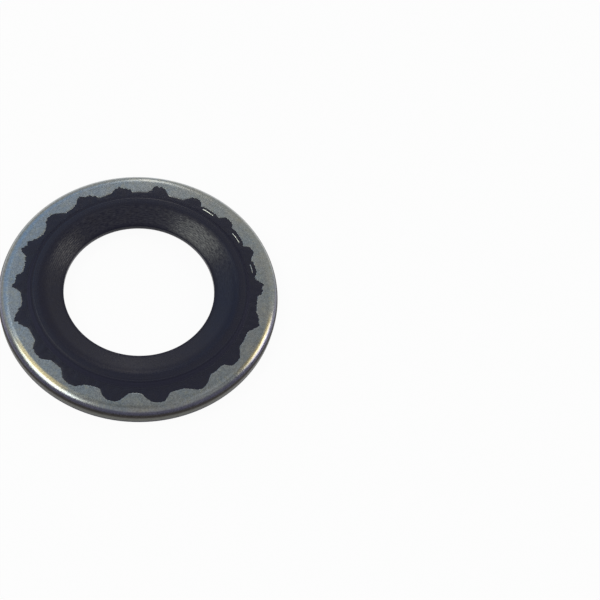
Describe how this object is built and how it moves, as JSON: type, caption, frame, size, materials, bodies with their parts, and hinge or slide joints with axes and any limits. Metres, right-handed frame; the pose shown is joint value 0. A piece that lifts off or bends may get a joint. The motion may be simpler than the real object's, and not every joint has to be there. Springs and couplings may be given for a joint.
{
  "type": "sealing washer",
  "caption": "Flat round steel ring with a toothed inner edge and a black rubber seal moulded into it, for sealing a pipe joint under clamping pressure.",
  "frame": {"origin": "on the bore's axis, in the plane that the lower bead of the seal rests on", "axes": "+Z along the bore, away from the surface that the washer lies on; +X through the middle of one rubber lobe"},
  "size_m": [0.0285, 0.0284, 0.0028],
  "materials": {
    "zinc_plated_steel": "zinc-plated stamped steel, satin, with a bright rolled outer edge",
    "moulded_rubber": "moulded blue-black rubber, matt with a soft sheen"
  },
  "bodies": {
    "root": {"steel_ring": "zinc_plated_steel", "rubber_seal": "moulded_rubber"}
  },
  "joints": []
}
